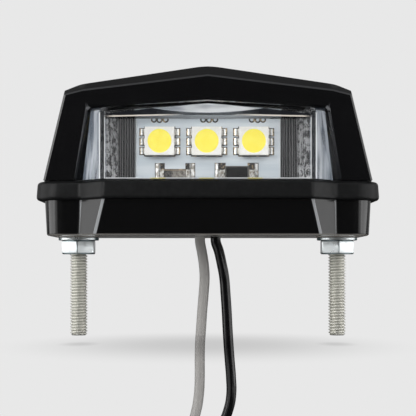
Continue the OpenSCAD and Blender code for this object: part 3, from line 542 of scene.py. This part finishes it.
def board_material():
    """White solder resist: dark lines round every soldered part, partly painted shade in the gaps and
    partly the parts' own copper-brown edges, ring marks and faint streaks.
    """
    p = Paint("board_white", (0.6, 0.64, 0.67), 0.4)
    p.rough(0.34, 0.48, 800, 3)
    streaks = p.fade(p.noise(520, 4, (0.05, 1, 1)), 0.36, 0.64)
    white = p.blend(streaks, (0.53, 0.585, 0.625), (0.66, 0.7, 0.725))
    rim = p.fade(p.off(0), BOARD_HALF - 1.0, BOARD_HALF - 0.75)
    white = p.blend(p.times(rim, 0.45), white, (0.74, 0.76, 0.78))

    # How far a point lies outside the nearest part: sources, rows of feet, resistor, diode, pads
    edges = []
    foot_half = CONTACT_H / 2 + OUTLINE
    row = p.math("PINGPONG", p.minus(p.axis(2), LED_MIDDLE[1]), CONTACT_PITCH / 2)
    for centre, half in LED_BOXES.values():
        feet = p.box(centre, [SOLDER_OUT + OUTLINE, CONTACT_PITCH + foot_half])
        edges += [p.box(centre, [h + OUTLINE for h in half]), p.most(feet, p.minus(row, foot_half))]
    for body, ends in (("resistor", "caps"), ("diode", "contacts")):
        edges.append(p.box(*front_box(body, margin=PART_OUTLINE)))
        for side in (-1, 1):
            pad = front_box(f"{body}_{ends}", f"{body}_solder", margin=PART_OUTLINE, side=side)
            edges.append(p.box(*pad))

    flat = p.place((1000, 0, 1000))
    rings = [p.math("ABSOLUTE", p.minus(p.distance(flat, (x, 0, z)), RING_R)) for x, z in RING_MARKS]
    # Painted shade in the gaps round the parts, copper-brown in places; the ring marks take the same
    # dark colour
    dark = p.most(p.fade(p.least(*edges), 0.05, -0.03), p.fade(p.least(*rings), 0.17, 0.1))
    shade_and_ink = p.blend(p.fade(p.noise(1600, 2), 0.5, 0.62), (0.015, 0.012, 0.01), (0.33, 0.24, 0.14))
    p.colour(p.blend(dark, white, shade_and_ink))
    return p


def resistor_material():
    """Dark glaze at the left and a brown-grey mottled face at the right."""
    p = Paint("resistor_glaze", (0.16, 0.155, 0.15), 0.5, Specular_IOR_Level=0.2)
    centre, half = front_box("resistor")
    mottle = p.fade(p.noise(1800, 4), 0.36, 0.64)
    dark = p.blend(mottle, (0.02, 0.02, 0.02), (0.09, 0.085, 0.08))
    pale = p.blend(mottle, (0.1, 0.09, 0.078), (0.27, 0.25, 0.22))
    right = p.fade(p.minus(p.axis(0), centre[0]), -0.45 * half[0], -0.05 * half[0])
    top_z = centre[1] + half[1]
    top = p.fade(p.axis(2), top_z - 0.25, top_z - 0.1)
    p.colour(p.blend(p.times(top, 0.7), p.blend(right, dark, pale), (0.36, 0.28, 0.18)))
    return p


def diode_material():
    """Matt black with a dull grey rim."""
    p = Paint("diode_moulding", (0.012, 0.012, 0.013), 0.6, Specular_IOR_Level=0.04)
    p.rough(0.42, 0.62, 2500, 4)
    noise_mix = p.fade(p.noise(2200, 5), 0.45, 0.75)
    face = p.blend(noise_mix, (0.002, 0.002, 0.002), (0.012, 0.012, 0.012))
    rim = p.fade(p.box(*front_box("diode")), -0.26, -0.16)
    p.colour(p.blend(rim, face, (0.12, 0.115, 0.105)))
    return p


def contact_material():
    """Tinned contacts with a bare brownish outer edge."""
    p = Paint("led_contacts", (0.74, 0.72, 0.67), 0.3, 1.0)
    edge = p.fade(from_led(p), CONTACT_OUT - 0.14, CONTACT_OUT - 0.06)
    p.colour(p.blend(edge, (0.78, 0.76, 0.72), (0.42, 0.33, 0.21)))
    p.rough(0.22, 0.42, 2500, 4)
    return p


def led_solder_material():
    """Bright solder with a brownish rim at the far end of each pad."""
    p = Paint("led_solder", (0.84, 0.84, 0.82), 0.25, 1.0)
    edge = p.fade(from_led(p), SOLDER_OUT - 0.2, SOLDER_OUT - 0.08)
    p.colour(p.blend(edge, (0.86, 0.86, 0.84), (0.5, 0.41, 0.28)))
    p.rough(0.18, 0.4, 3000, 4)
    p.bump(p.noise(2500, 3), 0.4, 0.00004)
    return p


# The lens


def lens_material():
    """Clear moulding with painted light: painted reflections in pale streaks on the flanks, painted
    shade in dark strips beside them, painted arcs above and painted highlights along the edges.
    """
    p = Paint("clear_lens", (0.985, 0.992, 1.0), 0.0, Transmission_Weight=1.0, IOR=1.49)
    across, up, edge = p.off(0), p.axis(2), LENS_HALF
    forward = p.fade(p.axis(1), LENS_FRONT + 0.25, LENS_FRONT + 0.12)
    dark = p.shader("ShaderNodeBsdfDiffuse", (0.012, 0.013, 0.016))

    # Painted reflections on the flanks, as a pale streaky diffuse layer, and painted shade above the
    # window's top
    flank_at = edge + 0.02
    flank = p.fade(across, flank_at, flank_at + 0.1)
    p.link(p.times(flank, 0.22), p.bsdf.inputs["Roughness"])
    streaks = p.fade(p.noise(900, 4, (1, 1, 0.12)), 0.34, 0.68)
    flank_streaks = p.blend(streaks, (0.1, 0.125, 0.16), (0.52, 0.56, 0.61))
    below = p.fade(up, WEDGE_FOOT + 1.1, WEDGE_FOOT + 0.85)
    flank_reflection = p.shader("ShaderNodeBsdfDiffuse", p.blend(below, (0.02, 0.022, 0.027), flank_streaks))
    look = p.layer(p.bsdf.outputs["BSDF"], p.times(flank, 0.62), flank_reflection)

    # Painted shade: a dark strip beside each flank
    strip = p.band(across, edge - 0.74, edge - 0.68, edge - 0.1, edge - 0.04)
    look = p.layer(look, p.times(strip, forward, 0.78), dark)

    # Over the hollow, painted shade stands for the black housing at both sides and a painted pale
    # reflection for the board between
    crown = p.minus(up, p.minus(CROWN, p.times(across, CROWN_FALL)))
    over = p.times(p.fade(up, WEDGE_FOOT - 0.06, WEDGE_FOOT + 0.06), p.fade(crown, 0.05, -0.1))
    belly = p.times(p.math("POWER", p.math("DIVIDE", across, BELLY_HALF), 2.0), BELLY)
    sunk = p.minus(up, p.plus(WEDGE_FOOT + 0.3, belly))
    depth = p.plus(0.72, p.times(p.fade(across, 3.0, 9.5), 0.26))
    look = p.layer(look, p.times(over, p.fade(sunk, 0.08, -0.08), depth, forward), dark)
    # The painted pale reflection of the board, in streaks
    noise_mix = p.fade(p.noise(420, 4, (0.2, 1, 1)), 0.4, 0.66)
    board_reflection = p.shader("ShaderNodeBsdfDiffuse", p.blend(noise_mix, (0.3, 0.33, 0.37), (0.88, 0.9, 0.92)))
    lit = p.times(over, p.fade(sunk, -0.02, 0.1), p.fade(crown, -0.16, -0.3), forward, 0.55)
    look = p.layer(look, lit, board_reflection)

    # Painted shade in dark ripples in the middle, and a painted warm reflection in an arc to each side
    ripple = p.fade(p.math("PINGPONG", p.minus(up, WEDGE_FOOT - 0.4), 0.4), 0.26, 0.36)
    ripple = p.times(ripple, p.fade(across, 5.2, 3.4), p.band(up, 18.95, 19.05, 20.35, 20.5))
    look = p.layer(look, p.times(ripple, forward, 0.72), dark)
    arc = p.minus(up, p.minus(WEDGE_FOOT + 0.1, p.times(across, 0.022)))
    arc = p.times(p.fade(p.math("ABSOLUTE", arc), 0.17, 0.06), p.fade(across, 3.4, 9.0),
                  p.fade(across, edge - 0.6, edge - 2.4))
    warm = p.shader("ShaderNodeBsdfDiffuse", (0.85, 0.78, 0.7))
    look = p.layer(look, p.times(arc, forward, 0.7), warm)

    # Painted highlights at the corners, the hollow's sides and the foot, and a painted yellow
    # reflection below the light sources
    corner = p.times(p.band(across, edge - 0.08, edge, edge + 0.16, edge + 0.24),
                     p.fade(p.axis(1), LENS_FRONT + 1.1, LENS_FRONT + 0.9),
                     p.fade(up, WEDGE_FOOT + 0.6, WEDGE_FOOT + 0.3))
    hollow_edge = p.times(p.band(across, edge - 0.9, edge - 0.86, edge - 0.78, edge - 0.74),
                          p.fade(up, WEDGE_FOOT - 0.3, WEDGE_FOOT - 0.5))
    foot = p.times(p.fade(up, LENS_FOOT + 0.2, LENS_FOOT + 0.1), p.fade(across, edge - 0.9, edge - 1.0))
    lines = p.times(p.most(p.times(p.most(hollow_edge, foot), forward), corner), 0.75)
    glint = p.times(p.fade(from_led(p), 1.5, 0.9), p.fade(across, 11.0, 10.0), foot)
    bright = p.shader("ShaderNodeBsdfDiffuse", p.blend(glint, (0.84, 0.86, 0.88), (0.9, 0.8, 0.3)))
    look = p.layer(look, lines, bright)

    # Shadow rays pass nearly undimmed
    shadow_ray = p.node("ShaderNodeLightPath").outputs["Is Shadow Ray"]
    p.finish(p.layer(look, shadow_ray, p.shader("ShaderNodeBsdfTransparent", (0.97, 0.98, 0.985))))
    return p


# Materials with even grain

screw_paint = Paint("screw_zinc", (0.6, 0.6, 0.62), 0.3, 1.0)
screw_paint.rough(0.24, 0.4, 1500, 4)

tin = Paint("tinned", (0.72, 0.7, 0.66), 0.3, 1.0)
tin.rough(0.22, 0.42, 2500, 4)
tin.tint(1800, 3, (0.36, (0.3, 0.27, 0.22)), (0.6, (0.76, 0.75, 0.72)))

solder_paint = Paint("solder", (0.66, 0.65, 0.62), 0.36, 0.9)
solder_paint.rough(0.28, 0.46, 3000, 4)
solder_paint.tint(1700, 3, (0.36, (0.22, 0.2, 0.17)), (0.6, (0.72, 0.71, 0.69)))
solder_paint.bump(solder_paint.noise(2500, 3), 0.4, 0.00004)

seal_paint = Paint("seal_rubber", (0.015, 0.015, 0.015), 0.6)
seal_paint.rough(0.52, 0.7, 900, 4)

tie_paint = Paint("tie_nylon", (0.012, 0.012, 0.013), 0.42)
tie_paint.rough(0.36, 0.52, 900, 4)

strand_paint = Paint("tinned_strands", (0.72, 0.69, 0.62), 0.3, 1.0)
strand_paint.rough(0.22, 0.42, 2000, 4)

package_paint = Paint("led_package", (0.86, 0.82, 0.76), 0.35)
package_paint.tint(1500, 4, (0.3, (0.82, 0.79, 0.73)), (0.7, (0.88, 0.86, 0.82)))

phosphor_paint = Paint("phosphor", (0.97, 0.82, 0.08), 0.45)
# Painted light: the phosphor gives off a little light of its own, though the light sources are off
phosphor_paint.set("Emission Color", (0.97, 0.82, 0.1, 1.0))
phosphor_paint.set("Emission Strength", 0.06)
phosphor_paint.tint(900, 4, (0.3, (0.96, 0.79, 0.06)), (0.7, (0.98, 0.86, 0.11)))

# What each CAD node wears

steel = steel_material()
PAINTED = [
    (hood_material(), "hood"),
    (base_material(), "base"),
    (collar_material(), "seal_collar"),
    (lens_material(), "lens"),
    (carrier_material(), "carrier"),
    (screw_paint, "hood_screws"),
    (steel, "stud_left", "stud_right"),
    (zinc_material(), "washer_left", "washer_right"),
    (nut_material(), "nut_left", "nut_right"),
    (board_material(), "circuit_board"),
    (package_paint, *(f"led_{side}" for side in SIDES)),
    (phosphor_paint, *(f"led_{side}_phosphor" for side in SIDES)),
    (contact_material(), *(f"led_{side}_contacts" for side in SIDES)),
    (led_solder_material(), "led_solder"),
    (resistor_material(), "resistor"),
    (diode_material(), "diode"),
    (tin, "resistor_caps", "diode_contacts"),
    (solder_paint, "resistor_solder", "diode_solder", "lead_solder"),
    (seal_paint, "cable_seal"),
    (grey_paint, "grey_lead_inside", "grey_lead", "lead_coil"),
    (black_paint, "black_lead_inside", "black_lead"),
    (tie_paint, "coil_tie"),
    (strand_paint, "grey_lead_end", "black_lead_end"),
]
for paint, *names in PAINTED:
    for name in names:
        put(nodes[name], paint)
        if name != "lens":
            shade(nodes[name], CAD_ANGLE)

SOFT_EDGES = {
    0.2: ["hood"],
    0.16: ["base"],
    0.1: ["washer_left", "washer_right", "nut_left", "nut_right", "diode", "coil_tie"],
    0.08: [f"led_{side}" for side in SIDES],
    0.06: ["seal_collar", "circuit_board", "resistor", "resistor_caps"],
    0.05: ["carrier", "diode_contacts"],
    0.03: [f"led_{side}_contacts" for side in SIDES],
}
for width, names in SOFT_EDGES.items():
    for name in names:
        soften(nodes[name], width * MM)

# Studs with their threads

PITCH, CREST_R, ROOT_R = 0.5, 1.5, 1.2
STUD_LOW, STUD_HIGH = -17.16, 2.0
AROUND = 64  # points in one turn
SPARE_TURNS = 3  # they are cut off at the ends
HEAD_H = 2.0
TIP_H, TIP_IN, TIP_SLOPE = 0.6, 0.32, 0.9  # the cone at the lower end
# Places along one pitch, and the share of the thread's depth that stands there
PROFILE = [(0.0, 0.0), (0.06, 0.0), (0.25, 0.55), (0.42, 1.0), (0.5, 1.0), (0.58, 1.0), (0.78, 0.5),
           (0.94, 0.0)]
ROWS = len(PROFILE)


def thread_radius(share, z):
    r = ROOT_R + (CREST_R - ROOT_R) * share
    return min(r, CREST_R - TIP_IN + (z - STUD_LOW) * TIP_SLOPE) if z < STUD_LOW + TIP_H else r


def threaded_stud(name, side):
    """A stud with a helical thread, its hidden head included."""
    bm = bmesh.new()
    turns = int((STUD_HIGH - STUD_LOW) / PITCH) + SPARE_TURNS
    grid = {}
    for n in range(turns * ROWS):
        at, share = PROFILE[n % ROWS]
        for k in range(AROUND):
            z = STUD_LOW - 2 * PITCH + (n // ROWS + at + k / AROUND) * PITCH
            a = 2 * math.pi * k / AROUND
            r = thread_radius(share, z)
            grid[n, k] = bm.verts.new((side * STUD_X + r * math.cos(a), r * math.sin(a), z))
    for n in range(turns * ROWS - 1):
        for k in range(AROUND):
            k2 = (k + 1) % AROUND
            step = ROWS if k2 == 0 else 0
            a, b = grid[n, k], grid.get((n + step, k2))
            c, d = grid.get((n + 1 + step, k2)), grid[n + 1, k]
            if b and c:
                bm.faces.new((a, b, c, d))
    for z, up in ((STUD_LOW, -1), (STUD_HIGH, 1)):
        cut = bmesh.ops.bisect_plane(bm, geom=bm.verts[:] + bm.edges[:] + bm.faces[:], dist=1e-5,
                                     plane_co=(0, 0, z), plane_no=(0, 0, up), clear_outer=True)
        edges = [e for e in cut["geom_cut"] if isinstance(e, bmesh.types.BMEdge)]
        bmesh.ops.holes_fill(bm, edges=edges, sides=0)
    corner = FLAT / math.cos(math.pi / 6)
    middle = Matrix.Translation((side * STUD_X, 0, STUD_HIGH + HEAD_H / 2))
    bmesh.ops.create_cone(bm, cap_ends=True, segments=6, radius1=corner, radius2=corner,
                          depth=HEAD_H, matrix=middle)
    bmesh.ops.recalc_face_normals(bm, faces=bm.faces[:])
    bmesh.ops.scale(bm, vec=(MM, MM, MM), verts=bm.verts[:])
    mesh = bpy.data.meshes.new(name)
    bm.normal_update()
    bm.to_mesh(mesh)
    bm.free()
    obj = bpy.data.objects.new(name, mesh)
    scene.collection.objects.link(obj)
    put(obj, steel)
    shade(obj, THREAD_ANGLE)
    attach(obj, "root")
    return obj


for side, label in ((-1, "left"), (1, "right")):
    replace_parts(threaded_stud(f"threaded_stud_{label}", side), f"stud_{label}")

# Studio

BACKGROUND = 0.807
FLOOR_Z = -0.0695
SHADOW_Z = -0.0174
PATCH_X, PATCH_Y = 190, -200  # the pale patches on the floor, one on each side, in millimetres
POOL_Y, POOL_HALF = -24.0, (30.0, 38.0)  # the wide shadow, in millimetres
TIP_X, TIP_Y, TIP_HALF = 20.2, -22.0, (3.0, 6.0)  # the small shadows near the studs' tips


def area(name, place, target, size, power):
    light = bpy.data.lights.new(name, "AREA")
    light.shape = "RECTANGLE"
    light.size, light.size_y = size
    light.energy = power
    obj = bpy.data.objects.new(name, light)
    obj.location = place
    obj.rotation_euler = (Vector(target) - Vector(place)).to_track_quat("-Z", "Y").to_euler()
    scene.collection.objects.link(obj)


area("front_left", (-0.359, -0.459, 0.212), (0, 0, 0.01), (0.3, 0.3), 1.6)
area("front_right", (0.359, -0.459, 0.212), (0, 0, 0.01), (0.3, 0.3), 0.72)
area("side_left", (-0.5, -0.06, 0.1), (0, -0.06, 0.1), (0.42, 0.34), 0.8)
area("side_right", (0.5, -0.06, 0.1), (0, -0.06, 0.1), (0.42, 0.34), 0.7)
area("rim_left", (-0.52, -0.3, 0.06), (0, 0, 0.02), (0.24, 0.26), 0.24)
area("rim_right", (0.52, -0.3, 0.06), (0, 0, 0.02), (0.24, 0.26), 0.26)
area("overhead", (0, 0.0, 0.6), (0, 0, 0), (0.8, 0.8), 0.2)
area("front_top", (0, -0.34, 0.42), (0, 0, 0.02), (0.5, 0.1), 0.16)


def studio_world():
    """The camera sees an even background, through the lens too. What shines reflects a sweep that
    is dark before the lamp and pale behind it."""
    world = bpy.data.worlds.new("studio")
    scene.world = world
    world.use_nodes = True
    tree = world.node_tree
    link = tree.links.new

    def ranged(value, **ends):
        n = tree.nodes.new("ShaderNodeMapRange")
        link(value, n.inputs["Value"])
        for key, end in ends.items():
            socket = n.inputs[key.replace("_", " ")]
            if isinstance(end, float):
                socket.default_value = end
            else:
                link(end, socket)
        return n.outputs["Result"]

    background = tree.nodes["Background"]
    background.inputs["Color"].default_value = (1, 1, 1, 1)
    path = tree.nodes.new("ShaderNodeLightPath")
    seen = tree.nodes.new("ShaderNodeMath")
    seen.operation = "MAXIMUM"
    link(path.outputs["Is Camera Ray"], seen.inputs[0])
    link(path.outputs["Is Transmission Ray"], seen.inputs[1])
    way = tree.nodes.new("ShaderNodeTexCoord")
    split = tree.nodes.new("ShaderNodeSeparateXYZ")
    link(way.outputs["Generated"], split.inputs[0])
    sweep = ranged(split.outputs["Y"], From_Min=-0.25, From_Max=0.25, To_Min=0.04, To_Max=0.4)
    soft = ranged(path.outputs["Is Glossy Ray"], To_Min=0.28, To_Max=sweep)
    link(ranged(seen.outputs[0], To_Min=soft, To_Max=BACKGROUND), background.inputs["Strength"])


studio_world()


def sheet(name, low, high, z, paint):
    mesh = bpy.data.meshes.new(name)
    (x0, y0), (x1, y1) = low, high
    mesh.from_pydata([(x0, y0, 0), (x1, y0, 0), (x1, y1, 0), (x0, y1, 0)], [], [(0, 1, 2, 3)])
    obj = bpy.data.objects.new(name, mesh)
    obj.location = (0, 0, z)
    scene.collection.objects.link(obj)
    put(obj, paint)


def floor_material():
    """Pale floor: the camera sees the background's colour, with the lamp's shadow near it. What
    shines reflects a dark floor with a pale wedge and a pale patch on each side."""
    p = Paint("floor", (0.8, 0.8, 0.8), 0.8)
    path = p.node("ShaderNodeLightPath")
    far = p.fade(p.distance(p.place()), 0.05, 0.3)
    plain = p.shader("ShaderNodeEmission", (1, 1, 1), Strength=BACKGROUND)
    share = p.times(path.outputs["Is Camera Ray"], p.plus(0.8, p.times(far, 0.2)))
    look = p.layer(p.bsdf.outputs["BSDF"], share, plain)
    aside = p.math("DIVIDE", p.off(1), p.plus(p.off(0), 1.0))
    wedge = p.times(p.fade(aside, 0.5, 0.3), p.fade(p.off(0), 60, 170))
    to_patch = p.distance(p.vector(p.minus(p.off(0), PATCH_X), p.minus(p.axis(1), PATCH_Y)))
    pale = p.blend(p.plus(wedge, p.fade(to_patch, 140, 60)), (0.03, 0.03, 0.03), (1.0, 1.0, 1.0))
    mirrored = p.shader("ShaderNodeEmission", pale, Strength=1.15)
    p.finish(p.layer(look, path.outputs["Is Glossy Ray"], mirrored))
    return p


def shadow_material():
    """A clear sheet under the studs' tips that carries the soft shadow seen below the lamp."""
    p = Paint("soft_shadow", (1, 1, 1), 1.0)
    middle = p.vector(p.math("DIVIDE", p.axis(0), POOL_HALF[0]),
                      p.math("DIVIDE", p.minus(p.axis(1), POOL_Y), POOL_HALF[1]))
    pool = p.times(p.fade(p.distance(middle), 1.15, 0.1), 0.27)
    near_tip = p.vector(p.math("DIVIDE", p.off(0), TIP_HALF[0]),
                        p.math("DIVIDE", p.minus(p.axis(1), TIP_Y), TIP_HALF[1]))
    tip = p.times(p.fade(p.distance(near_tip, (TIP_X / TIP_HALF[0], 0, 0)), 1.3, 0.1), 0.16)
    camera_ray = p.node("ShaderNodeLightPath").outputs["Is Camera Ray"]
    grey = p.blend(p.times(p.plus(pool, tip), camera_ray), (1.0, 1.0, 1.0), (0.0, 0.0, 0.0))
    p.finish(p.shader("ShaderNodeBsdfTransparent", grey))
    return p


sheet("floor", (-3, -3), (3, 3), FLOOR_Z, floor_material())
sheet("soft_shadow", (-0.036, -0.07), (0.036, 0.022), SHADOW_Z, shadow_material())
